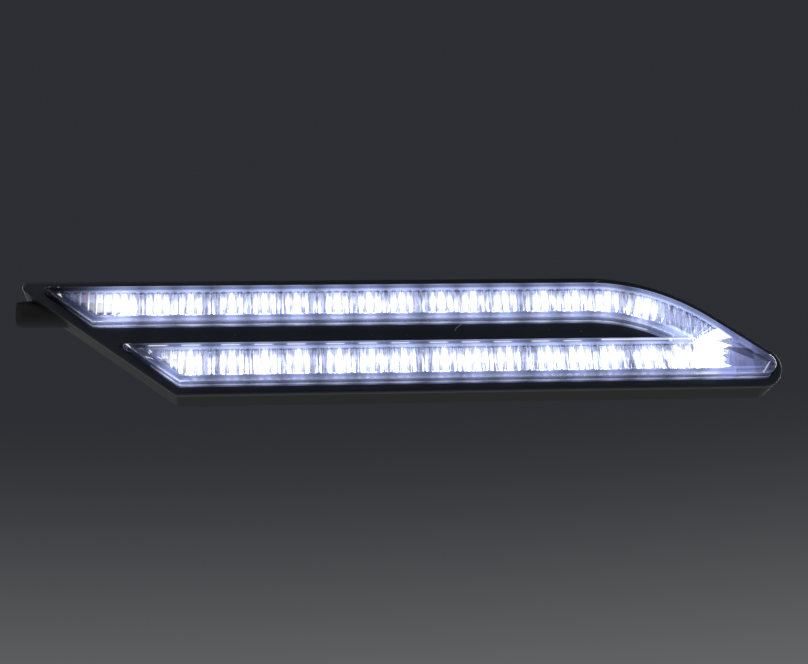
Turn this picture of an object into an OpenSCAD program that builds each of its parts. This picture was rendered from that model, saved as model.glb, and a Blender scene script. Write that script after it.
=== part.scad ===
// Daytime running light with a two-arm clear lens whose arms meet in a pointed nose.
// X runs along the lamp with the nose at +X, Z is up and the light leaves towards -Y.
// The origin lies on the rear mounting plane, midway between the two studs.

/* [Lens outline] */
// Length of the lens from the sharp end to the nose
lens_length = 225.5; // [206:0.5:260]
// Distance from the middle between the studs to the tip of the nose
nose_x = 112.75; // [112.5:0.05:113]
// Height of the upper arm's front face
upper_arm_h = 11.2; // [10.6:0.1:13]
// Height of the gap between the arms at the front face
arm_gap = 7.3; // [7:0.1:10]
// Height of the lower arm's front face
lower_arm_h = 12; // [11:0.1:14]
// Outer radius of the bend in the upper arm
bend_r = 67; // [60:1:75]
// Angle that the bend turns through
bend_a = 35.2; // [32:0.2:38]
// Radius of the nose seen from the front
nose_r = 3.1; // [2.8:0.1:4]
// Angle between the end cut and the long edges
cut_a = 36.4; // [34:0.2:42]
// Radius of the lens's two left corners
end_r = 0.4; // [0.3:0.1:1]
// Radius of the notch where the arms meet
notch_r = 0.5; // [0.3:0.1:1]

/* [Lens section] */
// Height of the lens's front face above the bezel
lens_rise = 4.7; // [4:0.1:6]
// Draft of the lens's side walls
lens_draft = 5; // [2:0.5:7]
// Radius of the lens's front edge
lens_edge_r = 0.9; // [0.4:0.1:1.1]
// Thickness of the lens's front wall
lens_front_t = 2.3; // [2:0.1:2.6]
// Thickness of the lens's side walls
lens_side_t = 1.3; // [1.1:0.1:1.4]
// Thickness of the lens's foot
foot_t = 1.2; // [1:0.1:1.5]
// Width that the foot stands out past the side wall
foot_w = 0.9; // [0.8:0.1:1]

/* [Flutes] */
// Number of flutes in the length of one group of LEDs
group_flutes = 13; // [10:1:14]
// Height of a flute's crest above the inside of the front wall
flute_h = 0.6; // [0.4:0.05:0.8]
// Gap between neighbouring flutes
flute_gap = 0.1; // [0.08:0.02:0.2]
// Bulge of a flute's rounded end
flute_lobe = 0.6; // [0.3:0.1:1]
// Margin between the flutes and the edge above them on the upper arm
upper_flute_top = 1.25; // [1.2:0.05:1.6]
// Margin between the flutes and the edge below them on the upper arm
upper_flute_low = 2; // [1.6:0.1:2.2]
// Margin between the flutes and both edges on the lower arm
lower_flute_margin = 1.8; // [1.6:0.1:2.2]
// Number of leaning flutes on the lower arm before the nose
lean_count = 12; // [9:1:14]
// Lean of the last flute before the nose
lean_a = 20; // [10:1:24]
// Number of flutes that fan out in the nose
fan_count = 10; // [8:1:12]
// Reach of the nose's fan of flutes
fan_r = 12.6; // [10:0.2:13.4]

/* [Housing] */
// Margin of the bezel and the housing round the lens
rim_w = 3.3; // [3:0.1:4]
// Corner radius of the housing's sharp end
housing_corner_r = 1.6; // [1:0.1:2.5]
// Height of the mounting pads behind the housing
pad_h = 1.5; // [1.2:0.1:2.5]
// Thickness of the housing's floor
floor_t = 2; // [1.8:0.1:2.6]
// Depth of the housing from its back to the bezel
housing_depth = 10; // [9.8:0.1:12]
// Thickness of the bezel
bezel_t = 1.5; // [1.3:0.1:2]
// Radius of the bezel's outer front edge
bezel_edge_r = 0.6; // [0.3:0.1:1]
// Clearance round the lens in the bezel and round its foot in the housing
lens_clear = 0.2; // [0.15:0.05:0.25]
// Thickness of the sealing bead under the lens's foot
seal_t = 0.8; // [0.6:0.1:1]
// Height of the stiffening ribs on the back
rib_h = 1; // [0.6:0.1:1.1]
// Width of the stiffening ribs on the back
rib_w = 1.2; // [1:0.1:1.6]
// Distance from cross rib to cross rib on the back
rib_pitch = 16.5; // [14:0.5:20]
// Margin of the rib that runs round the back
rib_margin = 2; // [1.6:0.1:2.4]

/* [Fixings] */
// Distance between the two mounting studs
stud_pitch = 115; // [100:1:118]
// Diameter of the mounting studs
stud_d = 5; // [4:0.5:5]
// Length of a stud behind the mounting pads
stud_l = 14; // [8:1:20]
// Diameter of a stud's knurled shank in the housing
stud_shank_d = 5.6; // [5.4:0.1:5.8]
// Diameter of a stud's moulded-in head
stud_head_d = 6; // [5.9:0.1:6.2]
// Thickness of a stud's moulded-in head
stud_head_t = 3; // [2:0.2:4]
// Diameter of the mounting pads
pad_d = 13; // [10:0.5:15]
// Distance from a stud to the bezel screw beside it, towards the middle
screw_stud_gap = 12.5; // [8:0.5:20]
// Core diameter of the bezel's screws
screw_d = 1.9; // [1.6:0.1:2]
// Length of the screws under the head
screw_l = 7.6; // [6.6:0.1:7.8]
// Diameter of the screw heads
screw_head_d = 3.8; // [3.4:0.1:4]
// Height of the screw heads
screw_head_t = 1.3; // [1:0.1:1.5]
// Depth of the screw heads below the housing's back
screw_sink = 0.3; // [0.2:0.1:0.6]
// Diameter of the bezel's screw pillars
pillar_d = 3; // [2.8:0.1:3.1]
// Length of the bezel's screw pillars
pillar_l = 5; // [4.4:0.1:5.4]

/* [Light source] */
// Margin of the housing's chambers round the lens's outline
chamber_w = 0.2; // [0.15:0.05:0.3]
// Distance from LED to LED in a group of three
led_pitch = 10.1; // [9.8:0.1:10.4]
// Distance from group to group
group_pitch = 32.3; // [32:0.1:33]
// Distance from the start of the bend to the middle LED of the last group
last_group_shift = 28.6; // [28:0.1:29]
// Length at the sharp end that stays without LEDs
unlit_end_l = 23.5; // [22:0.5:24.5]
// Length behind the lower arm's sharp tip that stays without LEDs
lower_unlit_l = 19; // [17:0.5:19.5]
// Length of the bend that still has LEDs
bend_lit_l = 20; // [19:0.5:24]
// Length at the nose that stays without LEDs
nose_unlit_l = 18; // [17:0.5:19]
// Distance of the supply's parts from the sharp end
supply_in = 18.7; // [18.4:0.1:19]
// Side length of an LED along the lamp
led_w = 5.4; // [5:0.1:5.6]
// Side length of an LED across the arm
led_d = 5; // [4.6:0.1:5]
// Height of an LED
led_h = 1.6; // [1.4:0.1:1.8]
// Depth of the round well in an LED's front
led_well_h = 0.4; // [0.2:0.1:0.6]
// Thickness of the circuit boards
board_t = 1.2; // [1:0.1:1.3]
// Thickness of the heat tape under the boards
tape_t = 0.3; // [0.2:0.05:0.4]
// Clearance between the boards and the housing's chamber
board_clear = 1.2; // [1:0.1:1.4]
// Margin of the heat tape inside the boards' edge
tape_margin = 0.6; // [0.4:0.1:1]
// Distance of each resistor from the joint between two groups
resistor_shift = 2.2; // [2:0.1:2.4]
// Wall of the reflector at its front edge
reflector_t = 0.6; // [0.5:0.1:0.8]
// Floor of the reflector
reflector_floor_t = 0.8; // [0.7:0.1:1]
// Space for parts between the boards and the reflector's floor
reflector_lift = 0.8; // [0.75:0.05:0.9]
// Clearance between the reflector and the lens
reflector_clear = 0.3; // [0.2:0.05:0.4]
// Thickness of the webs between the LED groups
web_t = 0.8; // [0.6:0.1:1]
// Gap between the webs and the inside of the front wall
web_gap = 2.4; // [1.5:0.1:3]
// Diameter of the reflector's locating pegs
peg_d = 1.6; // [1.4:0.1:1.8]
// Clearance round pegs, pillars and LEDs in their holes
fit_clear = 0.1; // [0.08:0.02:0.15]

/* [Cable entry and vent] */
// Height of the cable entry above the middle of the gap
entry_z = 10.1; // [9.6:0.1:10.6]
// Length of the cable entry's spout past the lens's sharp end
spout_l = 7; // [5:0.5:10]
// Outer diameter of the spout
spout_d = 8.4; // [8:0.1:9]
// Diameter of the grommet in the spout
grommet_d = 5.6; // [5.2:0.1:5.8]
// Bore of the grommet for the cable
grommet_bore_d = 4.2; // [3.6:0.1:4.2]
// Thickness of the grommet's flange
grommet_flange_t = 1.8; // [1.4:0.1:2.4]
// Wall between the grommet's hole and the seal's seat
entry_wall_t = 0.6; // [0.5:0.1:0.8]
// Diameter of the wires inside the lamp
wire_d = 1.1; // [0.9:0.1:1.1]
// Diameter of the breather vent's cap
vent_d = 8; // [7.5:0.5:9]
// Diameter of the vent's membrane
membrane_d = 6; // [5:0.2:6]
// Diameter of the vent's hole through the housing
vent_hole_d = 3; // [2:0.5:4]
// Place of the vent round the bend
vent_a = 28.5; // [24:0.5:30]

/* [Hidden] */
$fn = 48;
over = 0.05;

// Levels along Y, from the mounting plane to the lens's front face
back_y = -pad_h;
floor_y = back_y - floor_t;
board_back_y = floor_y - tape_t;
board_y = board_back_y - board_t;
led_y = board_y - led_h;
rim_y = back_y - housing_depth;
bezel_y = rim_y - bezel_t;
front_y = bezel_y - lens_rise;
foot_back_y = rim_y + foot_t;
seat_y = foot_back_y + seal_t;
inner_y = front_y + lens_front_t;
reflector_floor_y = board_y - reflector_lift;
reflector_face_y = reflector_floor_y - reflector_floor_t;
reflector_front_y = inner_y + flute_h + reflector_clear;

// Heights along Z, from the middle of the gap between the arms
notch_top_z = arm_gap / 2;
notch_low_z = -arm_gap / 2;
top_z = notch_top_z + upper_arm_h;
low_z = notch_low_z - lower_arm_h;
upper_z = (top_z + notch_top_z) / 2;
lower_z = (notch_low_z + low_z) / 2;

// The four straight edges, each an outward normal and its distance from the origin
left_x = nose_x - lens_length;
nose_at = [nose_x - nose_r, low_z + nose_r];
slant_n = [sin(bend_a), cos(bend_a)];
cut_n = [-sin(cut_a), -cos(cut_a)];
top_edge = [0, 1, top_z];
slant_edge = [slant_n[0], slant_n[1], slant_n * nose_at + nose_r];
low_edge = [0, -1, -low_z];
cut_edge = [cut_n[0], cut_n[1], cut_n * [left_x, top_z]];

// Where two edges meet when both are moved outwards by d
function meet(a, b, d) = let (k = a[0] * b[1] - a[1] * b[0], p = a[2] + d, q = b[2] + d)
    [(p * b[1] - q * a[1]) / k, (a[0] * q - b[0] * p) / k];
// Points of a round corner of radius r between two edges, clockwise seen from the front
function corner(a, b, r, grow, steps) = let (rr = max(r + grow, 0.15), c = meet(a, b, grow - rr),
    t0 = atan2(a[1], a[0]), t = atan2(b[1], b[0]), t1 = t > t0 ? t - 360 : t)
    [for (i = [0 : steps]) c + rr * [cos(t0 + (t1 - t0) * i / steps), sin(t0 + (t1 - t0) * i / steps)]];
// The whole silhouette, grown by grow, with its left corners of radius end
function outline(grow, end = end_r) = concat(
    corner(cut_edge, top_edge, end, grow, 6), corner(top_edge, slant_edge, bend_r, grow, 24),
    corner(slant_edge, low_edge, nose_r, grow, 12), corner(low_edge, cut_edge, end, grow, 4));

bend_at = meet(top_edge, slant_edge, -bend_r);
notch_bend_r = bend_r - upper_arm_h;
far = lens_length;
// The gap between the arms, which shrinks as the lens grows
function notch(grow) = let (r = notch_bend_r - grow, low = notch_low_z + grow,
    t = max(notch_r - grow, 0.15), cz = low + t,
    cx = bend_at[0] + sqrt(pow(r - t, 2) - pow(cz - bend_at[1], 2)),
    a = atan2(cz - bend_at[1], cx - bend_at[0]))
    concat([[-far, low], [-far, notch_top_z - grow]],
    [for (i = [0 : 12]) bend_at + r * [cos(90 - (90 - a) * i / 12), sin(90 - (90 - a) * i / 12)]],
    [for (i = [1 : 8]) [cx, cz] + t * [cos(a - (90 + a) * i / 8), sin(a - (90 + a) * i / 8)]]);
module lens_shape(grow) {
    difference() {
        polygon(outline(grow));
        polygon(notch(grow));
    }
}

// A flat shape in X and Z made solid between two levels along Y
module slab(y0, y1) {
    translate([0, y1, 0]) rotate([90, 0, 0]) linear_extrude(y1 - y0) children();
}
module pin(x, z, d, y0, y1) {
    translate([x, y1, z]) rotate([90, 0, 0]) cylinder(d = d, h = y1 - y0);
}
// A solid through rings of like outlines, from the front to the back
module loft(rings) {
    n = len(rings[0][1]);
    last = len(rings) - 1;
    polyhedron(
        points = [for (ring = rings) for (p = ring[1]) [p[0], ring[0], p[1]]],
        faces = concat([[for (j = [0 : n - 1]) j]], [[for (j = [n - 1 : -1 : 0]) last * n + j]],
            [for (k = [0 : last - 1]) for (j = [0 : n - 1]) let (m = (j + 1) % n)
                [k * n + j, (k + 1) * n + j, (k + 1) * n + m, k * n + m]]));
}

// Growth of the lens's side walls at a level, from their draft
function draft_at(y) = (y - front_y) * tan(lens_draft);
foot_grow = draft_at(bezel_y) + foot_w;
recess_grow = foot_grow + lens_clear;
// Level and growth of each ring of the lens's outside, round its front edge and down its wall
lens_rings = concat([for (a = [90 : -22.5 : 0]) let (y = front_y + lens_edge_r * (1 - sin(a)))
    [y, draft_at(y) - lens_edge_r * (1 - cos(a))]], [[foot_back_y, draft_at(foot_back_y)]]);
cavity_rings = [[inner_y, draft_at(inner_y) - lens_side_t],
    [foot_back_y + over, draft_at(foot_back_y) - lens_side_t]];

// One flute: a pillow rib on the inside of the front wall, with rounded ends
module flute(x, z, lean, length, w0, w1) {
    w = max(w0, w1);
    r = (w * w / 4 + flute_h * flute_h) / (2 * flute_h);
    translate([x, 0, z]) rotate([0, lean, 0]) intersection() {
        slab(inner_y - 0.3, inner_y + flute_h + over) polygon(concat(
            [for (a = [0 : 60 : 180]) [-w0 / 2 * cos(a), flute_lobe * (1 - sin(a))]],
            [for (a = [0 : 60 : 180]) [w1 / 2 * cos(a), length - flute_lobe * (1 - sin(a))]]));
        translate([0, inner_y + flute_h - r, -1]) cylinder(r = r, h = length + 2);
    }
}
flute_pitch = group_pitch / group_flutes;
flute_w = flute_pitch - flute_gap;
upper_low_z = notch_top_z + upper_flute_low;
upper_flute_l = upper_arm_h - upper_flute_top - upper_flute_low;
lower_low_z = low_z + lower_flute_margin;
lower_flute_l = lower_arm_h - 2 * lower_flute_margin;
lower_high_z = lower_low_z + lower_flute_l;
end_margin = lens_side_t + 0.4;
// Lowest place that the end cut leaves free for a flute at x
function end_z(x) = (cut_edge[2] - end_margin - cut_n[0] * (x - flute_w / 2)) / cut_n[1];
// Where the flutes of the two arms meet, behind the notch
fan_at = [bend_at[0] + (bend_r - upper_flute_top - upper_flute_l) * sin(bend_a) - 1.2, lower_high_z + 1.5];
// The leaning stretch starts where the upper arm starts to bend, and ends at the fan
lean_x = bend_at[0] + flute_pitch;
lean_length = fan_at[0] - lean_x;
fan_step = (180 - lean_a - bend_a) / fan_count;
fan_start = 1.6;
function fan_reach(a) = min(fan_r,
    (slant_edge[2] - slant_n * fan_at - upper_flute_top) / max(cos(a - bend_a), 0.2),
    a > 95 ? (fan_at[1] - lower_low_z) / -cos(a) : fan_r);
function radial(r, a) = bend_at + r * [sin(a), cos(a)];
module flutes() {
    short = 2.5;
    // Upright flutes of the upper arm, cut short by the slanted end
    for (i = [0 : floor((bend_at[0] - left_x) / flute_pitch)]) {
        x = bend_at[0] - (i + 0.5) * flute_pitch;
        z = max(upper_low_z, end_z(x));
        if (upper_low_z + upper_flute_l - z > short)
            flute(x, z, 0, upper_low_z + upper_flute_l - z, flute_w, flute_w);
    }
    // Flutes round the bend, each square to the arm
    bend_mid_r = bend_r - upper_flute_top - upper_flute_l / 2;
    bend_count = floor(bend_mid_r * bend_a * PI / 180 / flute_pitch);
    for (i = [0 : bend_count - 1]) {
        a = bend_a * (i + 0.5) / bend_count;
        inner_r = bend_mid_r - upper_flute_l / 2;
        w = 2 * bend_mid_r * sin(bend_a / bend_count / 2);
        p = radial(inner_r, a);
        flute(p[0], p[1], a, upper_flute_l, w * inner_r / bend_mid_r - flute_gap,
            w * (inner_r + upper_flute_l) / bend_mid_r - flute_gap);
    }
    // Upright flutes of the lower arm
    for (i = [0 : floor((lean_x - left_x) / flute_pitch)]) {
        x = lean_x - (i + 0.5) * flute_pitch;
        z = max(lower_low_z, end_z(x));
        if (lower_high_z - z > short)
            flute(x, z, 0, lower_high_z - z, flute_w, flute_w);
    }
    // Flutes that lean more and more towards the nose
    low_length = lean_length + lower_flute_l * tan(lean_a);
    for (i = [0 : lean_count - 1]) {
        t = (i + 0.5) / lean_count;
        x_low = lean_x + low_length * t;
        x_high = lean_x + lean_length * t;
        lean = atan2(x_high - x_low, lower_flute_l);
        flute(x_low, lower_low_z, lean, lower_flute_l / cos(lean), low_length / lean_count - flute_gap,
            lean_length / lean_count - flute_gap);
    }
    // The fan of flutes in the nose
    for (i = [0 : fan_count - 1]) {
        a = bend_a + (i + 0.5) * fan_step;
        reach = min(fan_reach(a - fan_step / 2), fan_reach(a), fan_reach(a + fan_step / 2));
        p = fan_at + fan_start * [sin(a), cos(a)];
        flute(p[0], p[1], a, reach - fan_start, 2 * fan_start * tan(fan_step / 2) - flute_gap,
            2 * reach * tan(fan_step / 2) - flute_gap);
    }
}
// The clear lens: drafted walls with a rounded front edge, a foot all round and flutes inside
module lens() {
    color("aliceblue", 0.5) union() {
        difference() {
            union() {
                difference() {
                    loft([for (s = lens_rings) [s[0], outline(s[1])]]);
                    loft([for (s = concat([[front_y - over, lens_rings[0][1]]], lens_rings,
                        [[foot_back_y + over, draft_at(foot_back_y)]])) [s[0], notch(s[1])]]);
                }
                slab(rim_y, foot_back_y) lens_shape(foot_grow);
            }
            difference() {
                loft([for (s = cavity_rings) [s[0], outline(s[1])]]);
                loft([[inner_y - over, notch(cavity_rings[0][1])],
                    [foot_back_y + 2 * over, notch(cavity_rings[1][1])]]);
            }
        }
        flutes();
    }
}
// The silicone bead that seals the lens's foot to the housing
module lens_seal() {
    color("dimgray") slab(foot_back_y, seat_y) difference() {
        lens_shape(foot_grow);
        lens_shape(chamber_w + fit_clear);
    }
}

stud_xs = [-stud_pitch / 2, stud_pitch / 2];
pillar_end_y = rim_y + pillar_l;
head_seat_y = back_y - screw_head_t - screw_sink;
spout_end_x = left_x - spout_l;
entry_y = seat_y + entry_wall_t + grommet_d / 2;
entry_in_x = (cut_edge[2] - cut_n[1] * entry_z) / cut_n[0];
mouth_x = entry_in_x - 1;
vent_at = radial(bend_r - upper_arm_h / 2, vent_a);
// Slot between the two chambers that the link wires pass through, just behind the sharp end's lower arm
slot_w = 3.6;
slot_x = (cut_edge[2] - cut_n[1] * notch_low_z) / cut_n[0] + slot_w / 2;
slot_front_y = seat_y + 1;
// The bezel's screws: one between the slot and the left stud, three between the studs
inner_screw_x = stud_pitch / 2 - screw_stud_gap;
screw_xs = [(slot_x + slot_w / 2 + stud_xs[0] - 3) / 2, -inner_screw_x, 0, inner_screw_x];
// The black rear housing with its light chamber, seal seat, screw pockets, ribs and spout
module housing() {
    color("#1c1d20") difference() {
        union() {
            slab(rim_y, back_y) polygon(outline(rim_w, housing_corner_r - rim_w));
            translate([spout_end_x, entry_y, entry_z]) rotate([0, 90, 0])
                cylinder(d = spout_d, h = entry_in_x - spout_end_x);
            for (x = stud_xs) pin(x, 0, pad_d, back_y - over, 0);
            slab(back_y - over, back_y + rib_h) difference() {
                polygon(outline(rim_w - rib_margin, housing_corner_r - rim_w));
                polygon(outline(rim_w - rib_margin - rib_w, housing_corner_r - rim_w));
            }
            slab(back_y - over, back_y + rib_h) intersection() {
                polygon(outline(rim_w - rib_margin - rib_w / 2));
                union() {
                    for (z = [upper_z, lower_z])
                        translate([-far, z - rib_w / 2]) square([2 * far, rib_w]);
                    for (x = [left_x : rib_pitch : nose_x])
                        translate([x - rib_w / 2, low_z]) square([rib_w, top_z - low_z]);
                }
            }
            pin(vent_at[0], vent_at[1], vent_d + 2.4, back_y - over, back_y + rib_h);
        }
        slab(rim_y - over, floor_y) lens_shape(chamber_w);
        slab(rim_y - over, seat_y) lens_shape(recess_grow);
        translate([slot_x - slot_w / 2, slot_front_y, notch_low_z])
            cube([slot_w, board_y - slot_front_y, arm_gap]);
        for (x = screw_xs) {
            pin(x, 0, pillar_d + 2 * fit_clear, rim_y - over, pillar_end_y + fit_clear);
            pin(x, 0, screw_d + 0.5, rim_y - over, 1);
            pin(x, 0, screw_head_d + 0.4, head_seat_y, 1);
        }
        for (x = stud_xs) {
            pin(x, 0, stud_shank_d, floor_y - over, 1);
            pin(x, 0, stud_head_d, floor_y - stud_head_t, floor_y);
        }
        for (p = peg_places) pin(p[0], p[1], peg_d + 2 * fit_clear, floor_y - over, floor_y + 1);
        translate([spout_end_x - 1, entry_y, entry_z]) rotate([0, 90, 0])
            cylinder(d = grommet_d, h = entry_in_x - spout_end_x + 6);
        pin(vent_at[0], vent_at[1], vent_hole_d, floor_y - 1, 1);
        pin(vent_at[0], vent_at[1], vent_d + 0.4, back_y, 1);
    }
}
// The black bezel that clamps the lens's foot, with screw pillars on its back
module bezel() {
    color("#15161a") difference() {
        union() {
            loft([for (a = [90 : -30 : 0]) [bezel_y + bezel_edge_r * (1 - sin(a)),
                    outline(rim_w - bezel_edge_r * (1 - cos(a)), housing_corner_r - rim_w)]]);
            slab(bezel_y + bezel_edge_r, rim_y) polygon(outline(rim_w, housing_corner_r - rim_w));
            for (x = screw_xs) pin(x, 0, pillar_d, rim_y - over, pillar_end_y);
        }
        slab(bezel_y - 1, rim_y + over) lens_shape(draft_at(rim_y) + lens_clear);
        for (x = screw_xs) pin(x, 0, screw_d, bezel_y + 0.6, pillar_end_y + over);
    }
}

// Light source: places along the two arms
arm_mid_r = bend_r - upper_arm_h / 2;
function bend_angle(s) = (s - bend_at[0]) / arm_mid_r * 180 / PI;
// Place and turn of a point at the distance s along the upper arm's middle line
function upper_place(s) = s < bend_at[0] ? [s, upper_z, 0]
    : concat(radial(arm_mid_r, bend_angle(s)), [bend_angle(s)]);
// Groups of three LEDs, counted back from the last group, as far as the arms stay lit
group_s = [for (g = [8 : -1 : 0]) bend_at[0] + last_group_shift - g * group_pitch];
led_s = [for (s = group_s) for (i = [-1 : 1]) s + i * led_pitch];
lower_tip_x = slot_x - slot_w / 2;
upper_led_s = [for (s = led_s) if (s > left_x + unlit_end_l && s < bend_at[0] + bend_lit_l) s];
lower_led_s = [for (s = led_s) if (s > lower_tip_x + lower_unlit_l && s < nose_x - nose_unlit_l) s];
upper_end_s = upper_led_s[len(upper_led_s) - 1];
joint_s = [for (s = group_s) s - group_pitch / 2];
upper_joints = [for (s = joint_s) if (s > upper_led_s[0] && s < upper_end_s) upper_place(s)];
lower_joints = [for (s = joint_s) if (s > lower_led_s[0]) [s, lower_z, 0]];
peg_places = concat(upper_joints, lower_joints);
board_end_a = bend_angle(upper_end_s + led_pitch / 2);
upper_leds = [for (i = [1 : len(upper_led_s)]) str("upper_led_", i)];
lower_leds = [for (i = [1 : len(lower_led_s)]) str("lower_led_", i)];
// Part of the lens's outline that belongs to the upper board
module upper_zone() {
    polygon([[mouth_x + 0.8, 0], [mouth_x + 0.8, 2 * bend_r], radial(2 * bend_r, board_end_a),
        radial(notch_bend_r - 2, board_end_a), [bend_at[0], 0]]);
}
// Part of the lens's outline that belongs to the lower board
module lower_zone() {
    translate([-far, 2 * low_z]) square([far + nose_x - 7, notch_low_z - 2 * low_z]);
}
// The lens's outline within a zone, with a hole for each of the reflector's pegs
module board_shape(grow, pegs) {
    difference() {
        intersection() {
            lens_shape(grow);
            children();
        }
        for (p = pegs) translate([p[0], p[1]]) circle(d = peg_d + 2 * fit_clear);
    }
}
board_grow = chamber_w - board_clear;
// The circuit board of each arm
module upper_board() {
    color("#2f6b45") slab(board_y, board_back_y) board_shape(board_grow, upper_joints) upper_zone();
}
module lower_board() {
    color("#2f6b45") slab(board_y, board_back_y) board_shape(board_grow, lower_joints) lower_zone();
}
// The heat tape that sticks each board to the housing's floor
module upper_heat_tape() {
    color("lightgray") slab(board_back_y, floor_y)
        board_shape(board_grow - tape_margin, upper_joints) upper_zone();
}
module lower_heat_tape() {
    color("lightgray") slab(board_back_y, floor_y)
        board_shape(board_grow - tape_margin, lower_joints) lower_zone();
}
// One LED package with its round well
module led(p) {
    well_d = led_d - 1;
    color("ivory") translate([p[0], 0, p[1]]) rotate([0, p[2], 0]) difference() {
        translate([-led_w / 2, led_y, -led_d / 2]) cube([led_w, led_h, led_d]);
        pin(0, 0, well_d, led_y - over, led_y + led_well_h);
    }
}
// One resistor for each group, beside the joint
module resistors(joints) {
    size = [1.6, 0.6, 3.2];
    color("#202020") for (p = joints) translate([p[0], 0, p[1]]) rotate([0, p[2], 0])
        translate([resistor_shift - size[0] / 2, board_y - size[1], -size[2] / 2]) cube(size);
}
module upper_resistors() {
    resistors(upper_joints);
}
module lower_resistors() {
    resistors(lower_joints);
}
// The diode and the capacitor of the supply, on the unlit left end of the upper board
supply_x = left_x + supply_in;
module protection_diode() {
    size = [4.3, 2.2, 2.6];
    color("#18181a") translate([supply_x - size[0] / 2, board_y - size[1], upper_z]) cube(size);
}
module input_capacitor() {
    size = [3.2, 1.6, 2.5];
    color("#a08868") translate([supply_x - size[0] / 2, board_y - size[1], upper_z - 0.8 - size[2]])
        cube(size);
}

// The white reflector: a tray that follows both arms, with a window for each LED and webs between groups
reflector_out = -(lens_side_t + reflector_clear);
reflector_rings = [[reflector_front_y - over, reflector_out - reflector_t],
    [reflector_face_y, reflector_out - 1.3]];
web_y = inner_y + web_gap;
bay_end = [upper_led_s[0] - led_w / 2 - 0.6, lower_led_s[0] - led_w / 2 - 0.6];
module reflector() {
    color("white") difference() {
        union() {
            difference() {
                slab(reflector_front_y, board_y) lens_shape(reflector_out);
                difference() {
                    loft([for (s = reflector_rings) [s[0], outline(s[1])]]);
                    loft([[reflector_rings[0][0] - over, notch(reflector_rings[0][1])],
                        [reflector_rings[1][0] + over, notch(reflector_rings[1][1])]]);
                    for (p = peg_places) translate([p[0], 0, p[1]]) rotate([0, p[2], 0])
                        translate([-web_t / 2, web_y, -8])
                        cube([web_t, reflector_face_y - web_y + over, 16]);
                }
                slab(reflector_floor_y, board_y + over) lens_shape(reflector_out - 1);
            }
            for (p = peg_places) pin(p[0], p[1], peg_d, reflector_floor_y - over, floor_y + 0.9);
        }
        for (s = upper_led_s) led_window(upper_place(s));
        for (s = lower_led_s) led_window([s, lower_z, 0]);
        wiring_bay(bay_end[0], 0, top_z);
        wiring_bay(bay_end[1], low_z, 0);
    }
}
// The window for one LED in the reflector's floor
module led_window(p) {
    gap = 0.2;
    translate([p[0], 0, p[1]]) rotate([0, p[2], 0])
        translate([-led_w / 2 - gap, reflector_face_y - over, -led_d / 2 - gap])
        cube([led_w + 2 * gap, reflector_floor_t + 2 * over, led_d + 2 * gap]);
}
// Open stretch without a floor at the left end of an arm, where the wires run
module wiring_bay(x1, z0, z1) {
    slab(reflector_face_y - 3, board_y + over) intersection() {
        lens_shape(reflector_out + 1);
        translate([-far, z0]) square([far + x1, z1 - z0]);
    }
}

// The black-capped vent over its membrane, in a raised ring on the back
module vent_membrane() {
    color("whitesmoke") pin(vent_at[0], vent_at[1], membrane_d, back_y, back_y + 0.3);
}
module vent_cap() {
    color("#202124") difference() {
        pin(vent_at[0], vent_at[1], vent_d, back_y, back_y + 1.3);
        pin(vent_at[0], vent_at[1], membrane_d + 0.2, back_y - over, back_y + 0.6);
        for (a = [0 : 60 : 120]) translate([vent_at[0], back_y + 0.3, vent_at[1]]) rotate([0, a, 0])
            cube([vent_d + 1, 0.7, 1], center = true);
    }
}
// The two studs moulded into the housing, each with a head inside and a chamfered tip
module mounting_studs() {
    tip = 0.6;
    color("silver") for (x = stud_xs) {
        pin(x, 0, stud_head_d, floor_y - stud_head_t, floor_y);
        pin(x, 0, stud_shank_d, floor_y - over, 0);
        pin(x, 0, stud_d, -over, stud_l - tip);
        translate([x, stud_l, 0]) rotate([90, 0, 0]) cylinder(d1 = stud_d - 2 * tip, d2 = stud_d, h = tip);
    }
}
// The small screws that hold the bezel from behind
module bezel_screws() {
    color("#8d9095") for (x = screw_xs) difference() {
        union() {
            pin(x, 0, screw_head_d, head_seat_y, head_seat_y + screw_head_t);
            pin(x, 0, screw_d, head_seat_y - screw_l, head_seat_y + over);
        }
        for (a = [0, 90]) translate([x, head_seat_y + screw_head_t, 0]) rotate([0, a, 0])
            cube([2.2, 1.2, 0.45], center = true);
    }
}
// The rubber grommet in the spout, with a flange outside
module cable_grommet() {
    flange_x = spout_end_x - grommet_flange_t;
    color("#26272a") translate([0, entry_y, entry_z]) rotate([0, 90, 0]) difference() {
        union() {
            translate([0, 0, flange_x]) cylinder(d = spout_d - 0.6, h = grommet_flange_t);
            translate([0, 0, flange_x]) cylinder(d = grommet_d, h = mouth_x - flange_x);
        }
        translate([0, 0, flange_x - 1]) cylinder(d = grommet_bore_d, h = mouth_x - flange_x + 2);
    }
}

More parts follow.
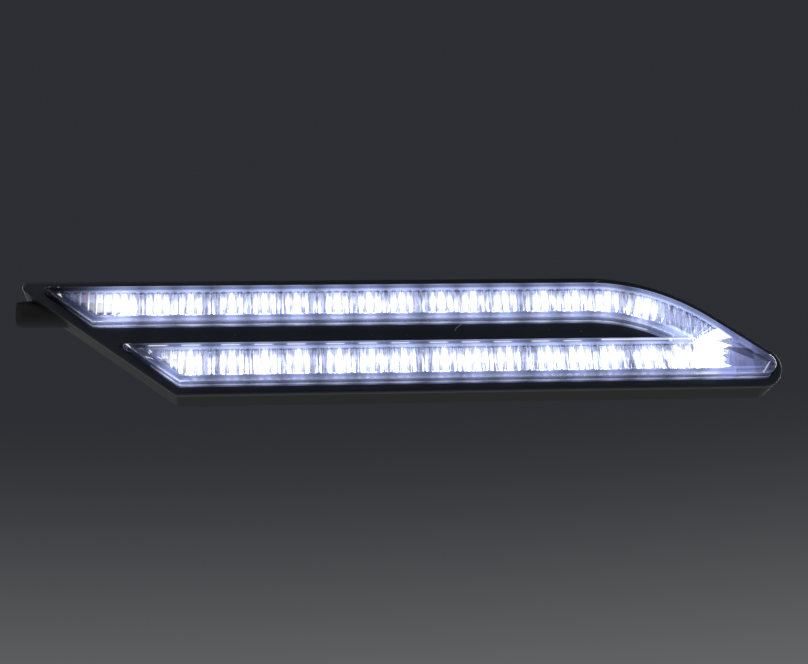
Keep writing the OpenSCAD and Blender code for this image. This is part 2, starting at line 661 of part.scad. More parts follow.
// Wires: a tube swept along a smooth curve through hand-placed points
function curve(p, a, b, c, d, t) = 0.5 * ((2 * b) + (c - a) * t + (2 * a - 5 * b + 4 * c - d) * t * t
    + (3 * b - a - 3 * c + d) * t * t * t);
function smooth(p, n) = concat([for (i = [0 : len(p) - 2]) for (k = [0 : n - 1])
    curve(p, p[max(i - 1, 0)], p[i], p[i + 1], p[min(i + 2, len(p) - 1)], k / n)], [p[len(p) - 1]]);
module wire(places) {
    path = smooth(places, 3);
    last = len(path) - 1;
    sides = 8;
    step = 360 / sides;
    rings = [for (i = [0 : last]) let (d = path[min(i + 1, last)] - path[max(i - 1, 0)],
        t = d / norm(d), u0 = cross(t, [0.2, 1, 0.1]), u = u0 / norm(u0), v = cross(t, u))
        [for (j = [0 : sides - 1]) path[i] + wire_d / 2 * (cos(j * step) * u + sin(j * step) * v)]];
    polyhedron(points = [for (ring = rings) for (p = ring) p],
        faces = concat([[for (j = [0 : sides - 1]) j]],
            [[for (j = [sides - 1 : -1 : 0]) last * sides + j]],
            [for (k = [0 : last - 1]) for (j = [0 : sides - 1]) let (m = (j + 1) % sides)
                [k * sides + j, (k + 1) * sides + j, (k + 1) * sides + m, k * sides + m]]));
}
pad_y = board_y - wire_d / 2 - 0.02;
// The link wires run side by side between the reflector and the wall of the upper chamber
link_y = [board_y - 1.2, board_y - 2.6];
link_z = notch_top_z + 0.7;
module supply_wire_red() {
    color("firebrick") wire([[mouth_x + 0.2, entry_y, entry_z + 1],
        [mouth_x + 2.3, entry_y, entry_z + 1.6], [mouth_x + 4.3, pad_y - 0.2, entry_z + 2.3],
        [mouth_x + 5.7, pad_y, entry_z + 2.4]]);
}
module supply_wire_black() {
    color("#202020") wire([[mouth_x + 0.2, entry_y, entry_z - 1], [mouth_x + 2.3, entry_y, entry_z - 0.7],
        [mouth_x + 4.2, pad_y - 0.2, entry_z - 0.9], [mouth_x + 5.7, pad_y, entry_z - 1]]);
}
module link_wire_red() {
    x = supply_x - 4.8;
    y = link_y[0];
    color("firebrick") wire([[x, pad_y, upper_z + 4], [x, pad_y - 0.4, upper_z + 3.2],
        [x, pad_y - 1.8, upper_z + 1.8], [x, pad_y - 2, upper_z - 0.5], [x, pad_y - 1.4, upper_z - 2.6],
        [x + 1.3, y, link_z + 0.7], [x + 4, y, link_z], [slot_x - 1.9, y, link_z],
        [slot_x - 0.3, y, notch_top_z - 0.6], [slot_x, y, 0], [slot_x + 0.3, y, notch_low_z + 0.4],
        [slot_x + 2.2, y, notch_low_z - 1.4], [slot_x + 5.2, pad_y - 0.3, notch_low_z - 2.6],
        [slot_x + 7, pad_y, notch_low_z - 3.1]]);
}
module link_wire_black() {
    x = supply_x - 3.1;
    y = link_y[1];
    color("#202020") wire([[x, pad_y, upper_z], [x, pad_y - 0.5, upper_z - 0.9], [x, y, upper_z - 2.7],
        [x + 1.3, y, link_z + 0.5], [x + 4.6, y, link_z], [slot_x - 1.9, y, link_z],
        [slot_x - 0.3, y, notch_top_z - 0.6], [slot_x, y, 0], [slot_x + 0.3, y, notch_low_z + 0.4],
        [slot_x + 2.2, y + 0.1, notch_low_z - 1.3], [slot_x + 5.6, y + 0.5, notch_low_z - 2.4],
        [slot_x + 8, pad_y - 0.9, notch_low_z - 4], [slot_x + 9.2, pad_y, notch_low_z - 4.7]]);
}

housing();
bezel();
lens();
lens_seal();
reflector();
upper_board();
lower_board();
upper_heat_tape();
lower_heat_tape();
upper_resistors();
lower_resistors();
protection_diode();
input_capacitor();
supply_wire_red();
supply_wire_black();
link_wire_red();
link_wire_black();
cable_grommet();
vent_membrane();
vent_cap();
mounting_studs();
bezel_screws();
for (i = [0 : len(upper_leds) - 1])
    led(upper_place(upper_led_s[i]));
for (i = [0 : len(lower_leds) - 1])
    led([lower_led_s[i], lower_z, 0]);
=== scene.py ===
import math
import random

import bpy
from mathutils import Matrix, Vector


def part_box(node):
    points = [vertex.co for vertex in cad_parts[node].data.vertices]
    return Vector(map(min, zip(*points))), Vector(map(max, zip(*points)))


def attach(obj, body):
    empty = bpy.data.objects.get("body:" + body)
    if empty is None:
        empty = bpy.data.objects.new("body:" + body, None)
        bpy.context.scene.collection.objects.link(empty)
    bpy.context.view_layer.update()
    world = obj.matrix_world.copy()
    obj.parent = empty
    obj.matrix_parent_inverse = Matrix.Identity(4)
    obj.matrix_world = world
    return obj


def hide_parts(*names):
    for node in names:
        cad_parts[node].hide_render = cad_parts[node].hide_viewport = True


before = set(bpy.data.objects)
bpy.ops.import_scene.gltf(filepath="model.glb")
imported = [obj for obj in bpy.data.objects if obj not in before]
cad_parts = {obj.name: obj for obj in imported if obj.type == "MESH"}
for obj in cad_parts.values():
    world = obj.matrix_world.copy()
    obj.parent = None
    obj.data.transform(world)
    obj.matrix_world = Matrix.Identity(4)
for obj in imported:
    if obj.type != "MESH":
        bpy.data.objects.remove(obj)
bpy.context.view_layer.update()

# The camera looks up at the lamp's front from 20 degrees below and a little towards the blunt end.
# Its place, roll and focal length are those that lay the lens's outline on the photograph's.
MM = 0.001
PHOTO_WIDTH = 808
FOCAL_PIXELS = 1469.4
SENSOR_WIDTH = 36
CAMERA_DISTANCE = 450 * MM
CAMERA_TARGET = Vector((-3.25, -17.7, -1.19)) * MM
azimuth, elevation, roll = math.radians(-5.7), math.radians(-20), math.radians(-2.597)

back = Vector((math.sin(azimuth) * math.cos(elevation),
               -math.cos(azimuth) * math.cos(elevation),
               math.sin(elevation)))
level = Vector((0, 0, 1)).cross(back).normalized()
upright = back.cross(level)
right = level * math.cos(roll) + upright * math.sin(roll)
up = upright * math.cos(roll) - level * math.sin(roll)
camera_data = bpy.data.cameras.new("camera")
camera_data.sensor_width = SENSOR_WIDTH
camera_data.lens = FOCAL_PIXELS / PHOTO_WIDTH * SENSOR_WIDTH
camera_data.clip_start = 0.01
camera = bpy.data.objects.new("camera", camera_data)
turn = Matrix((right, up, back)).transposed().to_4x4()
camera.matrix_world = Matrix.Translation(CAMERA_TARGET + back * CAMERA_DISTANCE) @ turn
bpy.context.collection.objects.link(camera)
bpy.context.scene.camera = camera


# The rear tray is one black moulding in glass-filled nylon. Its tool was spark-eroded, which left a
# fine even grain outside, and round marks where the ejector pins pushed it out.
class Signal:
    """A socket that carries a number, a colour or a vector through a material's nodes."""

    def __init__(self, tree, socket):
        self.tree = tree
        self.socket = socket

    def node(self, kind, settings, sockets, output=0):
        """Adds a node with its settings and then its sockets, and gives one of its outputs."""
        made = self.tree.nodes.new(kind)
        for name, value in settings.items():
            setattr(made, name, value)
        for name, value in sockets.items():
            if isinstance(value, Signal):
                self.tree.links.new(value.socket, made.inputs[name])
            else:
                made.inputs[name].default_value = value
        return Signal(self.tree, made.outputs[output])

    def math(self, operation, *values):
        return self.node("ShaderNodeMath", {"operation": operation}, dict(enumerate(values)))

    def __add__(self, other):
        return self.math("ADD", self, other)

    def __sub__(self, other):
        return self.math("SUBTRACT", self, other)

    def __rsub__(self, other):
        return self.math("SUBTRACT", other, self)

    def __mul__(self, other):
        return self.math("MULTIPLY", self, other)

    def __truediv__(self, other):
        return self.math("DIVIDE", self, other)

    def __rtruediv__(self, other):
        return self.math("DIVIDE", other, self)

    def __pow__(self, other):
        return self.math("POWER", self, other)

    def __abs__(self):
        return self.math("ABSOLUTE", self)

    def __lt__(self, other):
        return self.math("LESS_THAN", self, other)

    def __gt__(self, other):
        return self.math("GREATER_THAN", self, other)

    __radd__ = __add__
    __rmul__ = __mul__

    def most(self, *others):
        """The largest of this number and some others."""
        largest = self
        for other in others:
            largest = self.math("MAXIMUM", largest, other)
        return largest

    def least(self, *others):
        """The smallest of this number and some others."""
        smallest = self
        for other in others:
            smallest = self.math("MINIMUM", smallest, other)
        return smallest

    def clamped(self, low=0, high=1):
        return self.node("ShaderNodeClamp", {}, {"Value": self, "Min": low, "Max": high})

    def rise(self, low, high):
        """0 below low, 1 above high, and a smooth change from one to the other."""
        return self.node("ShaderNodeMapRange", {"interpolation_type": "SMOOTHSTEP"},
                         {"Value": self, "From Min": low, "From Max": high})

    def fall(self, low, high):
        """1 below low, 0 above high, and a smooth change from one to the other."""
        return 1 - self.rise(low, high)

    def near(self, middle, full, none):
        """1 as close to the middle as full, and 0 from none on."""
        return abs(self - middle).fall(full, none)

    def part(self, axis):
        """The X, Y or Z of a vector."""
        return self.node("ShaderNodeSeparateXYZ", {}, {"Vector": self}, axis)

    def scaled(self, *factors):
        """This vector with each of its parts multiplied."""
        return self.node("ShaderNodeVectorMath", {"operation": "MULTIPLY"}, {0: self, 1: factors})

    def blend(self, one, other):
        """The colour one where this mask is 0 and the colour other where it is 1.

        A Mix node's colours go in at its sockets 6 and 7 and come out at 2."""
        return self.node("ShaderNodeMix", {"data_type": "RGBA"}, {0: self, 6: one, 7: other}, 2)

    def noise(self, size, detail=3, roughness=0.5):
        """Cloudy values about 0.5, with clouds of that size, over a place in millimetres."""
        return self.node("ShaderNodeTexNoise", {}, {"Vector": self, "Scale": 1 / size,
                                                    "Detail": detail, "Roughness": roughness})

    def cells(self, size):
        """Distance to the nearest of scattered points that far apart."""
        return self.node("ShaderNodeTexVoronoi", {}, {"Vector": self, "Scale": 1 / size})

    def bump(self, depth):
        """The normal of a surface whose height is this signal times a depth in millimetres."""
        return self.node("ShaderNodeBump", {}, {"Height": self, "Distance": depth * MM})


def finish(name, **sockets):
    """A material, its shader's sockets, and the place on the part in millimetres.

    Sockets that are the same all over the surface are given here by name."""
    material = bpy.data.materials.new(name)
    material.use_nodes = True
    tree = material.node_tree
    shader = tree.nodes["Principled BSDF"]
    for socket, value in sockets.items():
        shader.inputs[socket.replace("_", " ")].default_value = value
    metres = Signal(tree, None).node("ShaderNodeTexCoord", {}, {}, "Object")
    return material, shader.inputs, metres.scaled(1 / MM, 1 / MM, 1 / MM)


def feed(inputs, **signals):
    """Links signals to a shader's sockets by name."""
    for socket, signal in signals.items():
        signal.tree.links.new(signal.socket, inputs[socket.replace("_", " ")])


def dress(material, *names):
    """Gives CAD nodes that material."""
    for name in names:
        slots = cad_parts[name].data.materials
        slots.clear()
        slots.append(material)


def rgb(red, green, blue):
    return (red, green, blue, 1)


def away(place, x, z):
    """How far a place is from a line that runs from front to back at x, z."""
    return ((place.part(0) - x) ** 2 + (place.part(2) - z) ** 2) ** 0.5


EJECTOR_R = 1.9
EJECTORS = ((-82, 8), (-30, 8), (28, 8), (-24, -9.5), (30, -9.5), (78, -9.5))
housing_plastic, sockets, place = finish("housing_plastic", Specular_IOR_Level=0.3)
grain = place.noise(0.22, 4, 0.6)
cloud = place.noise(14)
first, *others = [away(place, *ejector).near(EJECTOR_R, 0.05, 0.2) for ejector in EJECTORS]
mark = first.most(*others)
feed(sockets,
     Base_Color=cloud.rise(0.35, 0.7).blend(rgb(0.011, 0.0115, 0.0125), rgb(0.017, 0.017, 0.018)),
     Roughness=0.5 + 0.14 * cloud + 0.1 * grain - 0.12 * mark,
     Normal=(0.3 * grain - mark).bump(0.12))
dress(housing_plastic, "housing")

# Two M5 studs in zinc-plated steel. The tray is moulded round the head and the plain shank of each,
# and the rolled thread stands out behind for a nut.
STUD_X, STUD_HEAD_R, STUD_SHANK_R, STUD_END_R = 57.5, 3, 2.8, 1.9
STUD_HEAD_FRONT, STUD_HEAD_BACK, STUD_END = -6.5, -3.5, 14
THREAD_START, THREAD_PITCH, THREAD_ROOT, THREAD_CREST = 0.6, 0.8, 2.05, 2.49
THREAD_FORM = ((0, THREAD_ROOT), (0.3, THREAD_CREST), (0.42, THREAD_CREST), (0.72, THREAD_ROOT))
CHAMFER = 0.3
STUD_PROFILE = ((0, STUD_HEAD_FRONT), (STUD_HEAD_R - CHAMFER, STUD_HEAD_FRONT),
                (STUD_HEAD_R, STUD_HEAD_FRONT + CHAMFER), (STUD_HEAD_R, STUD_HEAD_BACK),
                (STUD_SHANK_R, STUD_HEAD_BACK), (STUD_SHANK_R, 0), (THREAD_ROOT, CHAMFER),
                (THREAD_ROOT, STUD_END - CHAMFER / 2), (STUD_END_R, STUD_END), (0, STUD_END))
STUD_SIDES = 48


def turned(profile, x, z, sides):
    """Points and faces of a shape turned about a line that runs from front to back at x, z.

    The profile gives its radius and its level, from end to end."""
    points = [(x + radius * math.cos(math.tau * side / sides), level,
               z + radius * math.sin(math.tau * side / sides))
              for radius, level in profile for side in range(sides)]
    faces = [(ring * sides + side, ring * sides + (side + 1) % sides,
              (ring + 1) * sides + (side + 1) % sides, (ring + 1) * sides + side)
             for ring in range(len(profile) - 1) for side in range(sides)]
    return points, faces


def thread(x, z, sides):
    """Points and faces of a rolled thread round that line, run in from the root at its start."""
    points, faces = [], []
    corners = len(THREAD_FORM)
    turns = round((STUD_END - CHAMFER - THREAD_START) / THREAD_PITCH - 1)
    for step in range(turns * sides + 1):
        angle = math.tau * step / sides
        for ahead, radius in THREAD_FORM:
            level = THREAD_START + THREAD_PITCH * (step / sides + ahead)
            run_in = THREAD_ROOT + 0.4 * (level - THREAD_START)
            reach = min(radius, run_in, STUD_END_R + STUD_END - level)
            points.append((x + reach * math.cos(angle), level, z + reach * math.sin(angle)))
        if step:
            now, before = corners * step, corners * (step - 1)
            faces += [(now + k, now + k + 1, before + k + 1, before + k)
                      for k in range(corners - 1)]
    return points, faces


def build(name, shapes, material, sharp=35):
    """One piece from shapes, each of points in millimetres and faces, finished and fixed on.

    Edges that turn by more degrees than sharp stay crisp."""
    points, faces = [], []
    for more_points, more_faces in shapes:
        faces += [[len(points) + corner for corner in face] for face in more_faces]
        points += more_points
    mesh = bpy.data.meshes.new(name)
    mesh.from_pydata([Vector(point) * MM for point in points], [], faces)
    mesh.materials.append(material)
    mesh.shade_smooth()
    mesh.set_sharp_from_angle(angle=math.radians(sharp))
    piece = bpy.data.objects.new(name, mesh)
    bpy.context.collection.objects.link(piece)
    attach(piece, "root")
    return piece


zinc, sockets, place = finish("zinc_plate", Metallic=1.0)
stain = place.noise(2.5, 5)
turning = place.scaled(1, 14, 1).noise(1.2, 2)
feed(sockets,
     Base_Color=stain.rise(0.3, 0.75).blend(rgb(0.62, 0.63, 0.62), rgb(0.46, 0.45, 0.42)),
     Roughness=0.26 + 0.2 * stain,
     Normal=turning.bump(0.02))
studs = build("threaded_studs", [shape for x in (-STUD_X, STUD_X)
                                 for shape in (turned(STUD_PROFILE, x, 0, STUD_SIDES),
                                               thread(x, 0, STUD_SIDES))], zinc)
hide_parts("mounting_studs")

# Four pan-head screws in the same zinc-plated steel. Each has a cross recess pressed into its head,
# and is driven from behind through the tray into the bezel.
SCREW_HEAD_R, SCREW_HEAD_T, SCREW_RIM = 1.9, 1.3, 0.6
SCREW_R, SCREW_SEAT, SCREW_L, SCREW_POINT = 0.95, -3.1, 7.6, 1.4
SCREW_SIDES, DOME_RINGS, DOME = 64, 14, 0.45
RECESS_ARM, RECESS_HALF, RECESS_DEPTH = 1.25, 0.36, 0.85
screw_xs = (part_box("bezel_screws")[0][0] / MM + SCREW_HEAD_R, -45, 0, 45)


def screw(x, sides):
    """A screw: its point, shank, seat and rim, then its domed crown with the recess pressed in."""
    tip, crown = SCREW_SEAT - SCREW_L, SCREW_SEAT + SCREW_HEAD_T
    profile = [(0, tip), (SCREW_R * 0.4, tip), (SCREW_R, tip + SCREW_POINT),
               (SCREW_R, SCREW_SEAT), (SCREW_HEAD_R, SCREW_SEAT), (SCREW_HEAD_R, crown - SCREW_RIM)]
    domed = len(profile) * sides
    profile += [(SCREW_HEAD_R * (1 - 0.07 * ring), crown - DOME + DOME * (ring / DOME_RINGS) ** 0.4)
                for ring in range(1, DOME_RINGS)] + [(0.02, crown)]
    points, faces = turned(profile, x, 0, sides)
    for number, (px, py, pz) in enumerate(points[domed:], domed):
        across, down = abs(px - x), abs(pz)
        arm, half = max(across, down), min(across, down)
        if arm < RECESS_ARM and half < RECESS_HALF - 0.1 * arm:
            points[number] = (px, py - RECESS_DEPTH * (1 - arm / 1.5), pz)
    return points, faces


screws = build("cross_head_screws", [screw(x, SCREW_SIDES) for x in screw_xs], zinc)
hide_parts("bezel_screws")

# The breather on the back: a white stretched film that air passes and water doesn't, welded over a
# hole in the tray, under a slotted cap in black plastic.
film, sockets, place = finish("breather_film", Specular_IOR_Level=0.3)
fibres = place.noise(0.12, 5, 0.7)
feed(sockets,
     Base_Color=fibres.rise(0.3, 0.7).blend(rgb(0.62, 0.62, 0.6), rgb(0.8, 0.8, 0.78)),
     Roughness=0.75 + 0.15 * fibres,
     Normal=fibres.bump(0.04))
dress(film, "vent_membrane")
cap_plastic, sockets, place = finish("cap_plastic")
grain = place.noise(0.35)
feed(sockets,
     Base_Color=grain.blend(rgb(0.012, 0.012, 0.013), rgb(0.02, 0.02, 0.021)),
     Roughness=0.38 + 0.12 * grain,
     Normal=grain.bump(0.03))
dress(cap_plastic, "vent_cap")

# The grommet, moulded in soft black rubber with a dull bloom on it. It is pushed into the spout at
# the blunt end, where the supply comes in.
rubber, sockets, place = finish("grommet_rubber", Specular_IOR_Level=0.35)
bloom = place.noise(1.8, 4)
feed(sockets,
     Base_Color=bloom.rise(0.3, 0.75).blend(rgb(0.014, 0.014, 0.014), rgb(0.032, 0.032, 0.031)),
     Roughness=0.66 + 0.2 * bloom,
     Normal=place.noise(0.16).bump(0.03))
dress(rubber, "cable_grommet")

# The boards: glass-epoxy laminate with green solder mask over copper, stuck down with grey tape
# that carries the heat to the tray.
laminate, sockets, place = finish("solder_mask", Specular_IOR_Level=0.55)
weave = place.noise(0.5, 2)
copper = place.scaled(0.35, 1, 1).cells(2.6).rise(0.38, 0.42)
feed(sockets,
     Base_Color=copper.blend(rgb(0.004, 0.022, 0.011), rgb(0.008, 0.04, 0.018)),
     Roughness=0.3 + 0.1 * weave,
     Normal=(copper + 0.3 * weave).bump(0.03))
dress(laminate, "upper_board", "lower_board")
tape, sockets, place = finish("heat_tape")
speckle = place.noise(0.3, 4)
feed(sockets,
     Base_Color=speckle.blend(rgb(0.2, 0.21, 0.22), rgb(0.33, 0.34, 0.35)),
     Roughness=0.7 + 0.15 * speckle,
     Normal=speckle.bump(0.03))
dress(tape, "upper_heat_tape", "lower_heat_tape")

# Thirty-two white LEDs, lit. Each is a white package with a well of phosphor under clear resin,
# soldered to its board.
lamp, sockets, place = finish("lit_led", Emission_Strength=5, Roughness=0.35)
haze = place.noise(0.8)
feed(sockets,
     Base_Color=haze.blend(rgb(0.8, 0.8, 0.76), rgb(0.86, 0.86, 0.83)),
     Emission_Color=haze.blend(rgb(0.75, 0.8, 1), rgb(0.85, 0.9, 1)))
dress(lamp, *[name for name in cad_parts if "_led_" in name])

# The parts that feed the LEDs, soldered to the boards: chip resistors and a diode in black resin,
# and a capacitor in brown ceramic.
chip, sockets, place = finish("chip_black")
mottle = place.noise(0.4)
feed(sockets,
     Base_Color=mottle.blend(rgb(0.012, 0.012, 0.013), rgb(0.03, 0.03, 0.03)),
     Roughness=0.4 + 0.2 * mottle,
     Normal=mottle.bump(0.02))
dress(chip, "upper_resistors", "lower_resistors", "protection_diode")
ceramic, sockets, place = finish("capacitor_ceramic")
mottle = place.noise(0.35)
feed(sockets,
     Base_Color=mottle.blend(rgb(0.36, 0.22, 0.12), rgb(0.46, 0.3, 0.18)),
     Roughness=0.35 + 0.2 * mottle,
     Normal=mottle.bump(0.02))
dress(ceramic, "input_capacitor")

# Four stranded wires in PVC: two bring the supply, and two link the upper board to the lower one.
# Where a wire comes forward past the foot of the reflector, the LEDs' light on its coloured sleeve
# is painted.
BLACK = rgb(0, 0, 0)
FORWARD_Y = -8
for colour, low, high in (("red", rgb(0.32, 0.01, 0.012), rgb(0.5, 0.025, 0.02)),
                          ("black", rgb(0.008, 0.008, 0.009), rgb(0.02, 0.02, 0.021))):
    sleeve, sockets, place = finish("wire_" + colour, Emission_Strength=0.6)
    mottle = place.noise(1.2)
    feed(sockets,
         Base_Color=mottle.blend(low, high),
         Emission_Color=(place.part(1) < FORWARD_Y).blend(BLACK, high),
         Roughness=0.34 + 0.16 * mottle,
         Normal=place.noise(0.3).bump(0.03))
    dress(sleeve, "supply_wire_" + colour, "link_wire_" + colour)

# The reflector, a white moulded tray set down round the LEDs. The light it throws is painted on it
# as a glow: strong beside each LED, faint between the groups, and fainter up its walls and outside.
GLOW_TINT, GLOW_CORE = rgb(0.47, 0.57, 1), rgb(0.8, 0.84, 1)
RIM_Y, WELL_Y = -14.6, -7.5
# The LEDs stand in groups of three. Each row has its height, and the stretch that its groups fill.
GROUP_PITCH, LED_PITCH, FIRST_JOINT = 32.3, 10.1, -61.82
UPPER_ROW_Z, LOWER_ROW_Z = 9.25, -9.65
UPPER_LIT, LOWER_LIT = (-94.12, 78.48), (-74.0, 99.7)
# The upper row turns about this point. Light also gathers in the nose and in both blunt ends: the
# x and z of each such pool, and its radius.
BEND_X, BEND_Z, ROW_BEND_R = 54.93, -52.15, 61.4
END_POOLS = ((94, -8, 6), (-93.2, 8.0, 7), (-73.2, -11.2, 5))
# The lens's outline: half the height of each arm, the thickness of its wall, the centre and radius
# of the nose, the upper corner of the blunt end, and how far the nose's and the end's edges lean.
UPPER_HALF, LOWER_HALF, LENS_WALL = 5.6, 6.0, 1.95
NOSE, NOSE_R, TIP = (109.65, -12.55), 3.1, (-112.75, 14.85)
NOSE_A, CUT_A = math.radians(35.2), math.radians(36.4)


def upper_run(place):
    """How far along the upper row of LEDs a place is, and how far off it, in millimetres."""
    x, z = place.part(0), place.part(2)
    angle = x.math("ARCTAN2", x - BEND_X, z - BEND_Z)
    bent = x > BEND_X
    run = bent * (BEND_X + ROW_BEND_R * angle) + (1 - bent) * x
    off = bent * (away(place, BEND_X, BEND_Z) - ROW_BEND_R) + (1 - bent) * (z - UPPER_ROW_Z)
    return run, off


def to_led(run, lit):
    """How far along the row the nearest LED is."""
    kept = run.clamped(*lit)
    from_joint = kept - FIRST_JOINT
    middle = abs(from_joint.math("FLOORED_MODULO", from_joint, GROUP_PITCH) - GROUP_PITCH / 2)
    return middle.least(abs(middle - LED_PITCH)) + abs(run - kept)


def pools(place, along, across):
    """The light that LEDs leave at a place: 1 at an LED, falling along and across its row."""
    light = 0
    for (run, off), lit in ((upper_run(place), UPPER_LIT),
                            ((place.part(0), place.part(2) - LOWER_ROW_Z), LOWER_LIT)):
        light = light + 1 / (1 + (to_led(run, lit) / along) ** 2 + (off / across) ** 2) ** 2
    for x, z, radius in END_POOLS:
        light = light + 1 / (1 + (away(place, x, z) / radius) ** 2) ** 3
    return light


def past(place, turn, point, reach=0):
    """How far a place is beyond a straight edge that leans by turn and passes that point."""
    across, along = math.sin(turn), math.cos(turn)
    return (place.part(0) * across + place.part(2) * along
            - (point[0] * across + point[1] * along + reach))


def depth_in(place):
    """How far inside the lens's outline a place is, seen from the front, in millimetres."""
    off = upper_run(place)[1]
    from_lower = place.part(2) - LOWER_ROW_Z
    arms = (UPPER_HALF - abs(off)).most(LOWER_HALF - abs(from_lower))
    beyond = past(place, NOSE_A, NOSE, NOSE_R).most(past(place, CUT_A + math.pi, TIP))
    return arms.least(from_lower + LOWER_HALF, 0 - beyond)


white_plastic, sockets, place = finish("white_plastic", Emission_Strength=6, Roughness=0.5)
down = place.part(1).rise(RIM_Y, WELL_Y)
inside = depth_in(place) > LENS_WALL
light = (pools(place, 2.5, 8) * (0.3 + 0.7 * down ** 1.5) + 0.02) * (0.5 + 0.5 * inside)
mottle = place.noise(1.5)
feed(sockets,
     Base_Color=mottle.blend(rgb(0.3, 0.3, 0.34), rgb(0.38, 0.38, 0.42)),
     Emission_Color=light.clamped().blend(BLACK, light.rise(0.02, 0.3).blend(GLOW_TINT, GLOW_CORE)),
     Normal=mottle.bump(0.02))
dress(white_plastic, "reflector")

# The seal, a bead of black silicone. It is laid on its seat in the tray and cures under the foot of
# the lens.
silicone, sockets, place = finish("seal_silicone")
bloom = place.noise(1.2, 4)
feed(sockets,
     Base_Color=bloom.blend(rgb(0.015, 0.015, 0.016), rgb(0.035, 0.035, 0.036)),
     Roughness=0.45 + 0.2 * bloom,
     Normal=bloom.bump(0.03))
dress(silicone, "lens_seal")

# The lens, one clear polycarbonate moulding, polished outside and fluted inside, held on its seal
# by the bezel. Few traced rays find the ways that the LEDs' light takes through it, so that light
# is painted where it comes out, worked out from the LEDs' places, in millimetres and in shares.
FLUTE_PITCH = GROUP_PITCH / 13
FLUTES_END, WALLS_END = 86, 100
FRONT_Y, INNER_Y, CREST_Y = -16.75, -15.5, -14.5
LOWER_STEP = 20
WATER_CLEAR, DEEP_SHADE = rgb(0.95, 0.96, 1), rgb(0.06, 0.065, 0.12)
HOT_WHITE, NOSE_TINT, SLEEVE_GLOW_TINT = rgb(0.9, 0.92, 1), rgb(0.4, 0.46, 1), rgb(0.2, 0.012, 0.03)
clear, sockets, place = finish("clear_polycarbonate", Transmission_Weight=1.0, IOR=1.585,
                               Emission_Strength=1.0)
x, y, z = place.part(0), place.part(1), place.part(2)
run, off = upper_run(place)
depth = depth_in(place)
front, inner = y < FRONT_Y, y > INNER_Y
upper = z > 0
lower = 1 - upper
from_row = upper * off + lower * (z - LOWER_ROW_Z)
above = upper * (off > 0) + lower * (z > LOWER_ROW_Z)
below = 1 - above
upright_streaks = place.scaled(1, 0.2, 0.03).noise(0.55, 2)
upright_lines = place.scaled(1, 0, 0.02).noise(0.5)
level_lines = place.scaled(0.06, 1, 1).noise(0.35)

# The flutes meet in cusps. The deepest leave a comb of painted grey shade in each LED's white.
count = (upper * run + lower * x - BEND_X) / FLUTE_PITCH
cusp = 2 * abs(count.math("FLOORED_MODULO", count, 1) - 0.5) * (x < FLUTES_END)
comb = cusp.rise(0.68, 0.9) * (upper * (x < 80) + lower * (x < 56))
# Painted shade, with a little painted glow, in the valleys of the flutes.
valley = y.fall(-15.39, -15.3) * inner * (x < FLUTES_END)
# Painted grey shade in upright streaks down the flutes, stronger away from each row's middle.
off_row = from_row.rise(1.0, 2.6).most((0 - from_row).rise(0.2, 1.8))
painted_grey_shade = ((0.6 + 0.3 * off_row) * inner * (y < CREST_Y)
        * upright_lines.fall(0.36 + 0.09 * off_row, 0.5 + 0.07 * off_row))

# The side walls: scalloped inner faces in painted shade, outer faces, and a painted bright line
# along their foot.
scallop = LENS_WALL + 0.55 * below * cusp ** 2 + above * (2.2 * cusp ** 5 - 0.6)
walls = depth.fall(scallop - 0.12, scallop + 0.12) * (depth > 0.35) * inner * (x < WALLS_END)
outer = (depth < 0.3) * (y > -17.2)
rim_highlight = (outer * below * y.rise(-14.5, -14.1) * y.fall(-13.4, -13.1)
       * (0.35 + 0.65 * level_lines.rise(0.44, 0.5)))

# The blunt ends, cut at a slant, with painted shade on the cut and the first flutes, and painted
# glints near the corners. The lower arm starts a step to the right of the upper one. The lit red
# sleeve of a link wire is painted as a glow behind the first flutes of the upper arm.
cut_face = past(place, CUT_A + math.pi, TIP).rise(-3.2, -2.2)
from_start = x - LOWER_STEP * lower
start = from_start.fall(-97.5, -95) * inner
along_cut = x.node("ShaderNodeCombineXYZ", {}, {0: 0.25 * (0.805 * x - 0.593 * z), 1: y,
                                             2: 0.593 * x + 0.805 * z})
corners = upper * (z > 10) + lower * (z > -9)
glint = front * cut_face * corners * along_cut.noise(0.75, 1).rise(0.6, 0.66)
red_sleeve_glow = (x.near(-99.6, 0.4, 0.65) * z.rise(10.2, 11.2) * z.fall(14.2, 15)
              * inner * (depth > 2.2))

# The nose: flutes that fan out before it, with painted streaks; a painted white front that ends in
# teeth; painted shade on the bank above that; a dark wedge of painted shade in the painted haze
# beyond it; and a fine painted bright line across the tip.
nose = x.rise(92, 98)
fan = x.rise(74, 82) * (z > -3.5) * (1 - nose)
bank = (z + 4.6) - 0.507 * (x - 87.8)
teeth = 5.7 * z.rise(-5.2, -4.0)
for level, length, half in ((-6.8, 4.8, 1.4), (-9.4, 2.6, 1.0), (-13.5, 3.4, 1.8)):
    teeth = teeth + length * (1 - abs(z - level) / half).clamped()
toothed = x - teeth + 3 * (place.scaled(0.3, 0, 1).noise(0.9, 2) - 0.5)
nose_white = (bank.fall(-0.5, 0.2) * toothed.fall(94, 94.8) * x.rise(86, 89)
              * depth.rise(1.5, 2) * front)
shadow = bank.rise(0.2, 0.8) * x.rise(85, 91) * (x < WALLS_END) * inner * (depth > 1.5)
opening = x - 96.8
wedge = ((z + 7.4 + 0.27 * opening).near(0, 0.1 + 0.17 * opening, 0.3 + 0.2 * opening)
         * x.rise(96.5, 97.5) * x.fall(105.5, 105.8))
haze = front * x.rise(94, 97) * (0.2 - 0.14 * x.rise(105, 106.2)) * (1 - 0.8 * wedge)
tip_line = ((0.81 * x - 0.587 * z).near(96.76, 0.1, 0.25)
            * (z < -12.3) * (z > -15.6) * front)
